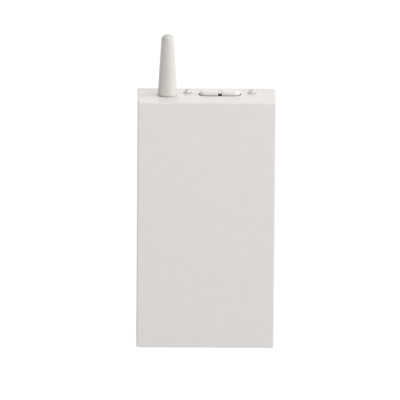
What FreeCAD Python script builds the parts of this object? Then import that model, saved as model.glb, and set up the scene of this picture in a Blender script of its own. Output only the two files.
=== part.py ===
# Wireless signal repeater: a tall flat box that stands on its base, with a stub antenna,
# two press keys and two domed lamp lenses on its top face.
# Millimetres. The origin is the middle of the base, +Z is up and the front looks along -Y.

import FreeCAD
import Part
import math
import os

vec = FreeCAD.Vector

# Casing
body_width = 90.0
body_depth = 40.0
body_height = 165.0
wall = 2.2
corner_radius = 1.3
edge_radius = 1.0
cover_rim = 3.5
cover_plate = 2.2
seam_bevel = 0.25
seam_groove_width = 0.4
seam_groove_depth = 0.6
lip_reach = 3.0
lip_thickness = 1.2
lip_clearance = 0.15
lip_end_gap = 14.0
rib_thickness = 1.2
wall_rib_height = 1.5
wall_rib_pitch = 36.0

# Cover screws and the corner bosses that take them
boss_inset = 7.4
boss_radius = 3.4
cover_screw_radius = 1.4
cover_screw_length = 12.0
cover_head_radius = 2.6
cover_head_height = 1.7
cover_head_bevel = 0.6
cover_head_sink = 2.0
cover_pad_radius = 4.2
screw_clearance = 0.1
head_clearance = 0.4

# Keyholes in the back cover
keyhole_spacing = 44.0
keyhole_height = 124.0
keyhole_radius = 4.2
keyhole_slot_radius = 2.1
keyhole_slot_length = 9.0
keyhole_well_depth = 4.4
keyhole_well_wall = 1.2
keyhole_well_margin = 0.8

# Places on the top face, as shares of half the casing's width
key_group_share = 0.191
lens_share = 0.467
antenna_share = 0.571

# Keys
key_y = 2.7
keys_length = 26.2
key_gap = 2.4
key_depth = 7.8
key_rise = 2.7
key_wall = 1.2
key_edge_radius = 0.7
key_inner_corner = 0.5
key_clearance = 0.3
slot_clearance = 0.7
slot_bridge_reach = 4.0
key_flange_width = 1.0
key_flange_thickness = 1.2
key_post_radius = 1.8
key_post_length = 2.0
key_travel = 0.5

# Silicone seal under the key slot, with a lip that shows round the keys
seal_thickness = 1.2
seal_lip_rise = 0.15
seal_lip_clearance = 0.05
seal_border = 2.0
seal_gap = 0.3
seal_frame_thickness = 1.2
seal_frame_depth = 2.2
seal_frame_clearance = 0.15

# Push switches
switch_width = 6.0
switch_height = 3.5
switch_axis_offset = 3.0
stem_radius = 1.7
stem_rise = 1.5
stem_clearance = 0.3
stem_length = 3.5
stem_floor_gap = 0.3
bracket_thickness = 0.3
bracket_leg_width = 1.2
bracket_leg_length = 2.4
bracket_hole_size = 1.5

# Main board
board_thickness = 1.6
board_side_gap = 3.8
board_foot_gap = 0.8
board_top_margin = 0.4
board_notch_clearance = 0.8
standoff_inset = 13.0
standoff_rise = 27.0
standoff_drop = 29.0
standoff_radius = 3.2
standoff_rib_length = 4.0
board_screw_radius = 1.1
board_screw_length = 7.0
board_head_radius = 2.1
board_head_height = 1.4

# Lamp lenses, and the lamps that sit astride the top edge of the board
lens_dome_step = 0.15
lens_collar_radius = 2.95
lens_collar_height = 0.6
lens_shank_radius = 1.95
lens_clearance = 0.08
lamp_gap = 0.2
lamp_width = 3.4
lamp_depth = 4.0
lamp_height = 2.6
lamp_bevel = 0.4
lamp_leg_width = 2.4
lamp_leg_length = 2.0
lamp_leg_thickness = 0.4

# Antenna
antenna_y = 0.0
antenna_base_radius = 6.3
antenna_tip_radius = 4.05
antenna_height = 40.8
antenna_crown_rise = 2.4
antenna_shoulder_radius = 2.0
stud_head_radius = 3.9
stud_head_height = 9.0
stud_thread_radius = 3.1
stud_thread_length = 8.0
stud_clearance = 0.15
element_radius = 0.8
element_length = 31.0
element_seat = 5.0
element_clearance = 0.05
washer_radius = 5.0
washer_thickness = 0.5
nut_flats = 8.0
nut_thickness = 2.0
lead_radius = 0.6

# Radio module on the front of the main board
radio_inset = 23.0
radio_drop = 56.0
radio_width = 18.0
radio_height = 25.0
radio_thickness = 0.8
radio_notch_size = 0.9
radio_notch_pitch = 2.5
shield_width = 14.0
shield_height = 15.0
shield_depth = 2.2
shield_skin = 0.3
shield_margin = 1.5
socket_radius = 1.1
socket_height = 1.2
socket_base_size = 2.8
socket_base_thickness = 0.3
socket_margin = 2.0
plug_radius = 1.5
plug_thickness = 1.1
plug_barrel_length = 2.4
plug_barrel_radius = 0.9
socket_drop = 5.0
crystal_length = 3.2
crystal_width = 2.5
crystal_depth = 0.8
crystal_margin = 2.5

# Chips and power parts on the front of the main board
processor_x = -1.0
processor_z = 100.0
processor_size = 9.0
processor_depth = 1.4
processor_leads_per_side = 6
processor_lead_margin = 1.0
charger_x = 21.0
charger_z = 92.0
charger_width = 5.0
charger_height = 4.0
charger_depth = 1.6
charger_leads_per_side = 4
charger_pitch = 1.27
regulator_x = 1.0
regulator_z = 20.0
regulator_size = 6.4
regulator_depth = 2.3
regulator_tab_width = 5.4
regulator_tab_reach = 1.8
regulator_lead_reach = 2.2
regulator_lead_width = 0.8
regulator_lead_spacing = 4.6
regulator_lead_thickness = 0.5
inductor_x = 1.0
inductor_z = 33.0
inductor_size = 8.0
inductor_depth = 4.2
inductor_corner_radius = 1.6
can_x = -14.0
can_z = 20.0
can_spacing = 11.0
can_radius = 4.0
can_height = 10.0
can_bevel = 0.4
fuse_x = 11.0
fuse_z = 30.0
fuse_length = 4.6
fuse_width = 3.2
fuse_depth = 1.2
fuse_cap_length = 0.6
fuse_cap_margin = 0.1
chip_bevel = 0.25
lead_width = 0.6
lead_reach = 0.9
lead_thickness = 0.25
header_inset = 18.0
header_z = 62.0
header_pins = 4
header_pitch = 2.54
header_base = 2.5
header_pin_rise = 6.0
header_pin_width = 0.64

# Power inlet
inlet_inset = 25.0
inlet_axis_offset = 6.5
inlet_width = 9.0
inlet_back = 4.6
inlet_length = 14.2
inlet_nose_length = 3.4
inlet_bore_radius = 3.2
inlet_bore_depth = 10.0
inlet_barrel_radius = 4.2
inlet_pin_radius = 1.05
inlet_pin_length = 9.0
inlet_pin_seat = 2.0
inlet_gap = 0.3
inlet_slit_margin = 1.0
inlet_slit_floor = 0.5
inlet_hole_radius = 5.4
inlet_hole_bevel = 0.6
contact_width = 2.4
contact_thickness = 0.3
contact_clearance = 0.1

# Backup battery
battery_width = 34.0
battery_height = 50.0
battery_thickness = 10.0
battery_z = 42.0
battery_pad_thickness = 1.0
battery_pad_inset = 4.0
battery_corner_radius = 2.5
battery_clearance = 0.4
battery_rib_height = 4.5
battery_rib_length = 8.0
battery_lead_radius = 0.65
battery_lead_spacing = 2.0
battery_socket_z = 112.0
battery_socket_x = 12.5
battery_socket_width = 7.6
battery_socket_height = 4.8
battery_socket_depth = 6.0
battery_plug_depth = 3.5
battery_plug_margin = 0.8
battery_plug_clearance = 0.05
battery_plug_shoulder = 0.3
battery_socket_floor = 1.2

# Places worked out from the sizes above
front_y = -body_depth / 2
back_y = body_depth / 2
half_width = body_width / 2
key_group_x = half_width * key_group_share
lens_offset = half_width * lens_share
antenna_x = -half_width * antenna_share
inner_half_width = half_width - wall
inner_front_y = front_y + wall
inner_top_z = body_height - wall
seam_y = back_y - cover_rim
plate_y = back_y - cover_plate
rib_end_y = seam_y - lip_reach - 2 * lip_clearance
boss_x = half_width - boss_inset
boss_low_z = boss_inset
boss_high_z = body_height - boss_inset

flange_top_z = inner_top_z - seal_thickness - seal_gap
flange_z = flange_top_z - key_flange_thickness
stem_top_z = flange_z - key_post_length
switch_top_z = stem_top_z - stem_rise
switch_z = switch_top_z - switch_height
key_length = (keys_length - key_gap) / 2
key_centre_offset = (key_gap + key_length) / 2

board_y = key_y + switch_axis_offset
board_back_y = board_y + board_thickness
board_z = wall + board_foot_gap
board_top_z = switch_top_z + board_top_margin
board_half_width = inner_half_width - board_side_gap
standoff_x = half_width - standoff_inset
standoff_low_z = standoff_rise
standoff_high_z = body_height - standoff_drop

lens_y = board_y + board_thickness / 2
lamp_top_z = board_top_z + lamp_height
stud_end_z = body_height - stud_thread_length
radio_x = -half_width + radio_inset
header_x = -half_width + header_inset
radio_z = body_height - radio_drop - radio_height / 2
radio_front_y = board_y - radio_thickness
socket_x = radio_x + radio_width / 2 - socket_radius - socket_margin
socket_z = radio_z + radio_height / 2 - socket_drop
inlet_x = half_width - inlet_inset
inlet_y = board_y - inlet_axis_offset
inlet_z = wall + inlet_gap
battery_y = inner_front_y + battery_pad_thickness


# Basic forms

def box(x0, x1, y0, y1, z0, z1):
    return Part.makeBox(x1 - x0, y1 - y0, z1 - z0, vec(x0, y0, z0))


def centred_box(x, z, width, height, y0, y1):
    return box(x - width / 2, x + width / 2, y0, y1, z - height / 2, z + height / 2)


def post_y(x, z, radius, y0, y1):
    return Part.makeCylinder(radius, y1 - y0, vec(x, y0, z), vec(0, 1, 0))


def post_z(x, y, radius, z0, z1):
    return Part.makeCylinder(radius, z1 - z0, vec(x, y, z0), vec(0, 0, 1))


def fused(shapes):
    return shapes[0].multiFuse(shapes[1:]).removeSplitter()


def runs_along(edge, axis):
    if not isinstance(edge.Curve, (Part.Line, Part.LineSegment)):
        return False
    direction = edge.Vertexes[-1].Point - edge.Vertexes[0].Point
    return direction.Length > 1e-6 and abs(direction.normalize().dot(axis)) > 0.9999


def lies_at(edge, axis, level):
    return all(abs(vertex.Point.dot(axis) - level) < 1e-4 for vertex in edge.Vertexes)


def round_along(shape, axis, radius):
    return shape.makeFillet(radius, [edge for edge in shape.Edges if runs_along(edge, axis)])


def round_at(shape, axis, level, radius):
    return shape.makeFillet(radius, [edge for edge in shape.Edges if lies_at(edge, axis, level)])


def bevel_at(shape, axis, level, size):
    return shape.makeChamfer(size, [edge for edge in shape.Edges if lies_at(edge, axis, level)])


def closed_face(edges):
    return Part.Face(Part.Wire(edges))


def line(a, b):
    return Part.LineSegment(a, b).toShape()


def arc(a, middle, b):
    return Part.Arc(a, middle, b).toShape()


def rounded_tube(points, radius):
    # Straight runs joined by tangent arcs, each as large as its two runs allow.
    edges = []
    start = points[0]
    for before, corner, after in zip(points, points[1:], points[2:]):
        arrive = (corner - before).normalize()
        leave = (after - corner).normalize()
        half_turn = arrive.getAngle(leave) / 2
        reach = 0.45 * min((corner - before).Length, (after - corner).Length)
        bend = reach / math.tan(half_turn)
        inward = (leave - arrive).normalize()
        centre = corner + inward * (bend / math.cos(half_turn))
        first = corner - arrive * reach
        last = corner + leave * reach
        edges += [line(start, first), arc(first, centre - inward * bend, last)]
        start = last
        print("bend radius", round(bend, 2))
    edges.append(line(start, points[-1]))
    path = Part.Wire(edges)
    ring = Part.Wire([Part.makeCircle(radius, points[0], points[1] - points[0])])
    tube = path.makePipeShell([ring], True, False)
    print("tube volume", round(tube.Volume, 3), "section times length",
          round(math.pi * radius ** 2 * path.Length, 3))
    return tube


# Screws

def screw(x, z, seat_y, radius, length, head_radius, head_height):
    # The shank points forwards and the head stands behind the seat.
    head = post_y(x, z, head_radius, seat_y, seat_y + head_height)
    return head.fuse(post_y(x, z, radius, seat_y - length, seat_y))


def cover_screw_places():
    return [(x, z) for x in (-boss_x, boss_x) for z in (boss_low_z, boss_high_z)]


def board_screw_places():
    return [(x, z) for x in (-standoff_x, standoff_x) for z in (standoff_low_z, standoff_high_z)]


def cover_screws():
    seat = back_y - cover_head_sink
    crown = seat + cover_head_height
    screws = []
    for x, z in cover_screw_places():
        plain = screw(x, z, seat, cover_screw_radius, cover_screw_length,
                      cover_head_radius, cover_head_height)
        screws.append(bevel_at(plain, vec(0, 1, 0), crown, cover_head_bevel))
    return Part.makeCompound(screws)


def board_screws():
    return Part.makeCompound([screw(x, z, board_back_y, board_screw_radius, board_screw_length,
                                    board_head_radius, board_head_height)
                              for x, z in board_screw_places()])


# Outlines seen from above: the D of one key, and the long slot round both

def key_face(side, grow, inner_grow, z):
    inner_x = key_group_x + side * (key_gap / 2 - inner_grow)
    centre_x = key_group_x + side * (keys_length / 2 - key_depth / 2)
    radius = key_depth / 2 + grow
    front_in = vec(inner_x, key_y - radius, z)
    front_out = vec(centre_x, key_y - radius, z)
    tip = vec(centre_x + side * radius, key_y, z)
    back_out = vec(centre_x, key_y + radius, z)
    back_in = vec(inner_x, key_y + radius, z)
    return closed_face([line(front_in, front_out), arc(front_out, tip, back_out),
                        line(back_out, back_in), line(back_in, front_in)])


def slot_solid(grow, z0, z1):
    left_x = key_group_x - keys_length / 2 + key_depth / 2
    right_x = key_group_x + keys_length / 2 - key_depth / 2
    radius = key_depth / 2 + grow
    corners = [vec(x, key_y + y, z0) for x, y in
               ((left_x, -radius), (right_x, -radius), (right_x, radius), (left_x, radius))]
    face = closed_face([line(corners[0], corners[1]),
                        arc(corners[1], vec(right_x + radius, key_y, z0), corners[2]),
                        line(corners[2], corners[3]),
                        arc(corners[3], vec(left_x - radius, key_y, z0), corners[0])])
    return face.extrude(vec(0, 0, z1 - z0))


def slot_bridge(grow):
    # A tongue of the top wall that reaches between the two keys from behind.
    half = key_gap / 2 - key_clearance + grow
    back = key_y + key_depth / 2 + slot_clearance
    return box(key_group_x - half, key_group_x + half, back - slot_bridge_reach - grow,
               back + grow, inner_top_z, body_height)


# Front housing

def casing_block(y0, y1, inset, radius):
    block = box(-half_width + inset, half_width - inset, y0, y1, inset, body_height - inset)
    return round_along(block, vec(0, 1, 0), radius)


def housing_shell():
    outer = casing_block(front_y, seam_y, 0, corner_radius)
    outer = round_at(outer, vec(0, 1, 0), front_y, edge_radius)
    outer = bevel_at(outer, vec(0, 1, 0), seam_y, seam_bevel)
    inner = casing_block(inner_front_y, seam_y + 1, wall, corner_radius)
    return outer.cut(inner)


def corner_bosses():
    pieces = []
    for x, z in cover_screw_places():
        side = math.copysign(1, x)
        rise = 1 if z > body_height / 2 else -1
        wall_z = inner_top_z if rise > 0 else wall
        pieces.append(post_y(x, z, boss_radius, inner_front_y, seam_y))
        across = sorted((x, side * inner_half_width))
        pieces.append(box(across[0], across[1], inner_front_y, rib_end_y,
                          z - rib_thickness / 2, z + rib_thickness / 2))
        upright = sorted((z, wall_z))
        pieces.append(box(x - rib_thickness / 2, x + rib_thickness / 2, inner_front_y, rib_end_y,
                          upright[0], upright[1]))
    return pieces


def standoffs():
    pieces = []
    for x, z in board_screw_places():
        reach = standoff_radius + standoff_rib_length
        rib_top = board_y - 2 * standoff_rib_length
        pieces.append(post_y(x, z, standoff_radius, inner_front_y, board_y))
        pieces.append(box(x - reach, x + reach, inner_front_y, rib_top,
                          z - rib_thickness / 2, z + rib_thickness / 2))
        pieces.append(box(x - rib_thickness / 2, x + rib_thickness / 2, inner_front_y, rib_top,
                          z - reach, z + reach))
    return pieces


def wall_ribs():
    pieces = []
    count = int((body_height - 4 * boss_inset) / wall_rib_pitch)
    middle = body_height / 2
    for index in range(count):
        z = middle + (index - (count - 1) / 2) * wall_rib_pitch
        for side in (-1, 1):
            ends = sorted((side * inner_half_width, side * (inner_half_width - wall_rib_height)))
            pieces.append(box(ends[0], ends[1], inner_front_y, rib_end_y,
                              z - rib_thickness / 2, z + rib_thickness / 2))
    return pieces


def battery_ribs():
    # Four L-shaped corners on the inside of the front wall locate the battery.
    pieces = []
    half = battery_width / 2 + battery_clearance
    for side in (-1, 1):
        for low, z in ((1, battery_z - battery_clearance),
                       (-1, battery_z + battery_height + battery_clearance)):
            x_ends = sorted((side * half, side * (half + rib_thickness)))
            z_ends = sorted((z - low * rib_thickness, z + low * battery_rib_length))
            pieces.append(box(x_ends[0], x_ends[1], inner_front_y,
                              inner_front_y + battery_rib_height, z_ends[0], z_ends[1]))
            x_ends = sorted((side * (half + rib_thickness), side * (half - battery_rib_length)))
            z_ends = sorted((z, z - low * rib_thickness))
            pieces.append(box(x_ends[0], x_ends[1], inner_front_y,
                              inner_front_y + battery_rib_height, z_ends[0], z_ends[1]))
    return pieces


def seal_frame():
    bottom = inner_top_z - seal_frame_depth
    grow = seal_border + seal_frame_clearance
    ring = slot_solid(grow + seal_frame_thickness, bottom, inner_top_z)
    return ring.cut(slot_solid(grow, bottom - 1, inner_top_z + 1))


def housing_holes():
    top = body_height + 1
    holes = [slot_solid(slot_clearance, inner_top_z - 1, top).cut(slot_bridge(0))]
    holes.append(post_z(antenna_x, antenna_y, stud_thread_radius + stud_clearance,
                        inner_top_z - 1, top))
    for side in (-1, 1):
        holes.append(post_z(key_group_x + side * lens_offset, lens_y,
                            lens_shank_radius + lens_clearance, inner_top_z - 1, top))
    holes.append(post_z(inlet_x, inlet_y, inlet_hole_radius, -1, wall + 1))
    holes.append(Part.makeCone(inlet_hole_radius + inlet_hole_bevel, inlet_hole_radius,
                               inlet_hole_bevel, vec(inlet_x, inlet_y, 0), vec(0, 0, 1)))
    for x, z in cover_screw_places():
        depth = cover_screw_length + cover_head_sink
        holes.append(post_y(x, z, cover_screw_radius + screw_clearance, back_y - depth - 1,
                            seam_y + 1))
    for x, z in board_screw_places():
        holes.append(post_y(x, z, board_screw_radius + screw_clearance,
                            board_back_y - board_screw_length - 1, board_y + 1))
    return holes


def front_housing():
    solid = fused([housing_shell()] + corner_bosses() + standoffs() + wall_ribs()
                  + battery_ribs() + [seal_frame()])
    return solid.cut(housing_holes())


# Back cover

def keyhole_places():
    return [(side * keyhole_spacing / 2, keyhole_height) for side in (-1, 1)]


def upright_slot(x, z0, z1, radius, y0, y1):
    return fused([post_y(x, z0, radius, y0, y1), post_y(x, z1, radius, y0, y1),
                  box(x - radius, x + radius, y0, y1, z0, z1)])


def keyhole_well(x, z, grow):
    floor_y = plate_y - keyhole_well_depth - grow
    radius = keyhole_radius + keyhole_well_margin + grow
    return upright_slot(x, z, z + keyhole_slot_length, radius, floor_y, plate_y)


def keyhole_cut(x, z):
    entry = post_y(x, z, keyhole_radius, plate_y - 1, back_y + 1)
    slot = upright_slot(x, z, z + keyhole_slot_length, keyhole_slot_radius, plate_y - 1, back_y + 1)
    return [entry, slot]


def cover_lip():
    front = seam_y - lip_reach
    outer_x = inner_half_width - lip_clearance
    inner_x = outer_x - lip_thickness
    low_z = wall + lip_clearance
    high_z = inner_top_z - lip_clearance
    pieces = []
    for side in (-1, 1):
        ends = sorted((side * outer_x, side * inner_x))
        pieces.append(box(ends[0], ends[1], front, plate_y, lip_end_gap,
                          body_height - lip_end_gap))
    across = half_width - lip_end_gap
    pieces.append(box(-across, across, front, plate_y, low_z, low_z + lip_thickness))
    pieces.append(box(-across, across, front, plate_y, high_z - lip_thickness, high_z))
    return pieces


def seam_groove():
    # The shadow line all round the casing, cut into the cover's rim.
    end = seam_y + seam_groove_width
    core = casing_block(seam_y - 1, end, seam_groove_depth, corner_radius - seam_groove_depth)
    return casing_block(seam_y - 1, end, -1, corner_radius).cut(core)


def back_cover():
    tray = casing_block(seam_y, back_y, 0, corner_radius)
    tray = round_at(tray, vec(0, 1, 0), back_y, edge_radius)
    tray = tray.cut([casing_block(seam_y - 1, plate_y, wall, corner_radius), seam_groove()])
    pads = [post_y(x, z, cover_pad_radius, seam_y, plate_y) for x, z in cover_screw_places()]
    wells = [keyhole_well(x, z, keyhole_well_wall) for x, z in keyhole_places()]
    solid = fused([tray] + cover_lip() + pads + wells)
    cuts = []
    for x, z in keyhole_places():
        cuts.append(keyhole_well(x, z, 0))
        cuts += keyhole_cut(x, z)
    for x, z in cover_screw_places():
        cuts.append(post_y(x, z, cover_screw_radius + screw_clearance, seam_y - 1, back_y + 1))
        cuts.append(post_y(x, z, cover_head_radius + head_clearance,
                           back_y - cover_head_sink, back_y + 1))
    return solid.cut(cuts)


# Keys, their seal and the push switches

def key(side):
    top_z = body_height + key_rise
    cap = key_face(side, 0, 0, flange_z).extrude(vec(0, 0, top_z - flange_z))
    inner_x = key_group_x + side * key_gap / 2
    corners = [edge for edge in cap.Edges
               if runs_along(edge, vec(0, 0, 1)) and lies_at(edge, vec(1, 0, 0), inner_x)]
    cap = cap.makeFillet(key_inner_corner, corners)
    cap = round_at(cap, vec(0, 0, 1), top_z, key_edge_radius)
    flange = key_face(side, key_flange_width, 0, flange_z)
    flange = flange.extrude(vec(0, 0, key_flange_thickness))
    hollow = key_face(side, -key_wall, -key_wall, flange_z - 1)
    hollow = hollow.extrude(vec(0, 0, top_z - key_wall - flange_z + 1))
    shell = cap.fuse(flange).cut(hollow)
    x = key_group_x + side * key_centre_offset
    post = post_z(x, key_y, key_post_radius, stem_top_z, top_z - key_wall / 2)
    web = box(x - rib_thickness / 2, x + rib_thickness / 2, key_y - key_depth / 2 + key_wall / 2,
              key_y + key_depth / 2 - key_wall / 2, flange_z, top_z - key_wall / 2)
    return fused([shell, post, web])


def key_seal():
    # A plate under the top wall, and a lip that fills the slot round the keys.
    bottom = inner_top_z - seal_thickness
    top = body_height + seal_lip_rise
    plate = slot_solid(seal_border, bottom, inner_top_z)
    lip = slot_solid(slot_clearance - seal_lip_clearance, bottom, top)
    seal = fused([plate, lip])
    cuts = [slot_bridge(seal_lip_clearance).fuse(slot_bridge(0).translated(vec(0, 0, 1)))]
    for side in (-1, 1):
        window = key_face(side, key_clearance, key_clearance, bottom - 1)
        cuts.append(window.extrude(vec(0, 0, top - bottom + 2)))
    return seal.cut(cuts)


def switch_x(side):
    return key_group_x + side * key_centre_offset


def switch_body(side):
    x = switch_x(side)
    half = switch_width / 2
    body = box(x - half, x + half, board_y - switch_width, board_y, switch_z, switch_top_z)
    bore_floor = stem_top_z - stem_length - key_travel - stem_floor_gap
    bore = post_z(x, key_y, stem_radius + stem_clearance, bore_floor, switch_top_z + 1)
    return body.cut(bore)


def switch_stem(side):
    x = switch_x(side)
    return post_z(x, key_y, stem_radius, stem_top_z - stem_length, stem_top_z)


def switch_bracket(side):
    # A folded steel clip over the switch body, with two legs through the board.
    x = switch_x(side)
    half = switch_width / 2
    front = board_y - switch_width
    clip = box(x - half - bracket_thickness, x + half + bracket_thickness,
               front, board_y, switch_z, switch_top_z + bracket_thickness)
    clip = clip.cut(box(x - half, x + half, front - 1, board_y + 1, switch_z - 1, switch_top_z))
    clip = clip.cut(post_z(x, key_y, stem_radius + stem_clearance,
                           switch_top_z - 1, switch_top_z + 1))
    legs = []
    for edge in (-1, 1):
        ends = sorted((x + edge * half, x + edge * (half + bracket_thickness)))
        legs.append(box(ends[0], ends[1], board_y - 1, board_y + bracket_leg_length,
                        switch_z, switch_z + bracket_leg_width))
    return fused([clip] + legs)


# Lamp lenses and lamps

def lamp_lens(side):
    x = key_group_x + side * lens_offset
    tail_z = lamp_top_z + lamp_gap
    collar_top = body_height + lens_collar_height
    dome_z = collar_top + lens_dome_step
    shank = post_z(x, lens_y, lens_shank_radius, tail_z, dome_z)
    collar = post_z(x, lens_y, lens_collar_radius, body_height, collar_top)
    ball = Part.makeSphere(lens_shank_radius, vec(x, lens_y, dome_z), vec(0, 0, 1), 0, 90, 360)
    return fused([shank, collar, ball])


def lamp(side):
    x = key_group_x + side * lens_offset
    body = box(x - lamp_width / 2, x + lamp_width / 2, lens_y - lamp_depth / 2,
               lens_y + lamp_depth / 2, board_top_z, lamp_top_z)
    body = bevel_at(body, vec(0, 0, 1), lamp_top_z, lamp_bevel)
    legs = [box(x - lamp_leg_width / 2, x + lamp_leg_width / 2, y, y + lamp_leg_thickness,
                board_top_z - lamp_leg_length, board_top_z)
            for y in (board_y - lamp_leg_thickness, board_back_y)]
    return fused([body] + legs)


# Antenna

def antenna_sleeve():
    # A straight taper under a crown that is part of a sphere.
    base_z = body_height
    tip_z = base_z + antenna_height
    shoulder_z = tip_z - antenna_crown_rise
    crown_radius = (antenna_tip_radius ** 2 + antenna_crown_rise ** 2) / (2 * antenna_crown_rise)
    half_angle = math.asin(antenna_tip_radius / crown_radius) / 2
    crown_middle = vec(antenna_x + crown_radius * math.sin(half_angle), antenna_y,
                       tip_z - crown_radius * (1 - math.cos(half_angle)))
    corners = [vec(antenna_x, antenna_y, base_z),
               vec(antenna_x + antenna_base_radius, antenna_y, base_z),
               vec(antenna_x + antenna_tip_radius, antenna_y, shoulder_z),
               vec(antenna_x, antenna_y, tip_z)]
    face = closed_face([line(corners[0], corners[1]), line(corners[1], corners[2]),
                        arc(corners[2], crown_middle, corners[3]), line(corners[3], corners[0])])
    skin = face.revolve(vec(antenna_x, antenna_y, 0), vec(0, 0, 1), 360)
    skin = round_at(skin, vec(0, 0, 1), shoulder_z, antenna_shoulder_radius)
    head = post_z(antenna_x, antenna_y, stud_head_radius + element_clearance,
                  base_z - 1, base_z + stud_head_height)
    top = base_z + stud_head_height - element_seat + element_length
    bore = post_z(antenna_x, antenna_y, element_radius + element_clearance, base_z, top)
    return skin.cut([head, bore])


def antenna_stud():
    head_z = body_height + stud_head_height
    thread = post_z(antenna_x, antenna_y, stud_thread_radius, stud_end_z, body_height)
    head = post_z(antenna_x, antenna_y, stud_head_radius, body_height, head_z)
    seat = post_z(antenna_x, antenna_y, element_radius + element_clearance,
                  head_z - element_seat, head_z + 1)
    return fused([thread, head]).cut(seat)


def antenna_element():
    foot_z = body_height + stud_head_height - element_seat
    return post_z(antenna_x, antenna_y, element_radius, foot_z, foot_z + element_length)


def antenna_washer():
    disc = post_z(antenna_x, antenna_y, washer_radius, inner_top_z - washer_thickness, inner_top_z)
    return disc.cut(post_z(antenna_x, antenna_y, stud_thread_radius + screw_clearance,
                           inner_top_z - washer_thickness - 1, inner_top_z + 1))


def antenna_nut():
    top = inner_top_z - washer_thickness
    corner = nut_flats / math.sqrt(3)
    points = [vec(antenna_x + corner * math.cos(math.radians(60 * step)),
                  antenna_y + corner * math.sin(math.radians(60 * step)), top - nut_thickness)
              for step in range(6)]
    blank = Part.Face(Part.makePolygon(points + points[:1])).extrude(vec(0, 0, nut_thickness))
    return blank.cut(post_z(antenna_x, antenna_y, stud_thread_radius + screw_clearance,
                            top - nut_thickness - 1, top + 1))


def plug_axis_y():
    return radio_front_y - socket_height - plug_thickness / 2


def antenna_lead():
    plug_top = socket_z + plug_radius + plug_barrel_length
    y = plug_axis_y()
    span = stud_end_z - plug_top
    route = [vec(antenna_x, antenna_y, stud_end_z),
             vec(antenna_x, antenna_y, stud_end_z - span * 0.3),
             vec(socket_x, y, stud_end_z - span * 0.7),
             vec(socket_x, y, plug_top)]
    return rounded_tube(route, lead_radius)


def antenna_lead_plug():
    front = radio_front_y - socket_height - plug_thickness
    cap = post_y(socket_x, socket_z, plug_radius, front, radio_front_y - socket_height)
    barrel = post_z(socket_x, plug_axis_y(), plug_barrel_radius, socket_z,
                    socket_z + plug_radius + plug_barrel_length)
    clear = box(socket_x - plug_radius, socket_x + plug_radius,
                radio_front_y - socket_height, radio_front_y,
                socket_z - plug_radius, socket_z + 2 * plug_barrel_length)
    return fused([cap, barrel]).cut(clear)


def antenna_socket():
    base = centred_box(socket_x, socket_z, socket_base_size, socket_base_size,
                       radio_front_y - socket_base_thickness, radio_front_y)
    ring = post_y(socket_x, socket_z, socket_radius, radio_front_y - socket_height, radio_front_y)
    return fused([base, ring])


# Radio module

def radio_board():
    board = centred_box(radio_x, radio_z, radio_width, radio_height, radio_front_y, board_y)
    count = int(radio_height / radio_notch_pitch)
    cuts = []
    for index in range(count):
        z = radio_z + (index - (count - 1) / 2) * radio_notch_pitch
        cuts.append(centred_box(radio_x, z, radio_width + 1, radio_notch_size,
                                radio_front_y - 1, board_y + 1))
    notches = fused(cuts).cut(centred_box(radio_x, radio_z, radio_width - radio_notch_size,
                                          radio_height, radio_front_y - 2, board_y + 2))
    return board.cut(notches)


def shield_z():
    return radio_z - radio_height / 2 + shield_margin + shield_height / 2


def radio_shield():
    front = radio_front_y - shield_depth
    can = centred_box(radio_x, shield_z(), shield_width, shield_height, front, radio_front_y)
    hollow = centred_box(radio_x, shield_z(), shield_width - 2 * shield_skin,
                         shield_height - 2 * shield_skin, front + shield_skin, radio_front_y + 1)
    return can.cut(hollow)


def radio_crystal():
    x = radio_x - radio_width / 2 + crystal_margin + crystal_length / 2
    return centred_box(x, socket_z, crystal_length, crystal_width,
                       radio_front_y - crystal_depth, radio_front_y)


# Chips and power parts, all seated on the front of the main board

def chip_leads(x, z, half_x, half_z, count_x, count_z, pitch):
    leads = []
    foot = board_y - lead_thickness
    for index in range(count_z):
        along = (index - (count_z - 1) / 2) * pitch
        leads.append(box(x - half_x - lead_reach, x + half_x + lead_reach, foot, board_y,
                         z + along - lead_width / 2, z + along + lead_width / 2))
    for index in range(count_x):
        along = (index - (count_x - 1) / 2) * pitch
        leads.append(box(x + along - lead_width / 2, x + along + lead_width / 2, foot, board_y,
                         z - half_z - lead_reach, z + half_z + lead_reach))
    return leads


def processor():
    half = processor_size / 2
    body = centred_box(processor_x, processor_z, processor_size, processor_size,
                       board_y - processor_depth, board_y)
    body = bevel_at(body, vec(0, 1, 0), board_y - processor_depth, chip_bevel)
    pitch = (processor_size - 2 * processor_lead_margin) / (processor_leads_per_side - 1)
    leads = chip_leads(processor_x, processor_z, half, half, processor_leads_per_side,
                       processor_leads_per_side, pitch)
    return fused([body] + leads)


def charger_chip():
    body = centred_box(charger_x, charger_z, charger_width, charger_height,
                       board_y - charger_depth, board_y)
    body = bevel_at(body, vec(0, 1, 0), board_y - charger_depth, chip_bevel)
    leads = chip_leads(charger_x, charger_z, charger_width / 2, charger_height / 2,
                       charger_leads_per_side, 0, charger_pitch)
    return fused([body] + leads)


def voltage_regulator():
    half = regulator_size / 2
    body = centred_box(regulator_x, regulator_z, regulator_size, regulator_size,
                       board_y - regulator_depth, board_y)
    body = bevel_at(body, vec(0, 1, 0), board_y - regulator_depth, chip_bevel)
    foot = board_y - regulator_lead_thickness
    tab = box(regulator_x - regulator_tab_width / 2, regulator_x + regulator_tab_width / 2,
              foot, board_y, regulator_z, regulator_z + half + regulator_tab_reach)
    legs = []
    for side in (-1, 1):
        x = regulator_x + side * regulator_lead_spacing / 2
        legs.append(box(x - regulator_lead_width / 2, x + regulator_lead_width / 2, foot, board_y,
                        regulator_z - half - regulator_lead_reach, regulator_z))
    return fused([body, tab] + legs)


def power_inductor():
    body = centred_box(inductor_x, inductor_z, inductor_size, inductor_size,
                       board_y - inductor_depth, board_y)
    return round_along(body, vec(0, 1, 0), inductor_corner_radius)


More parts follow.
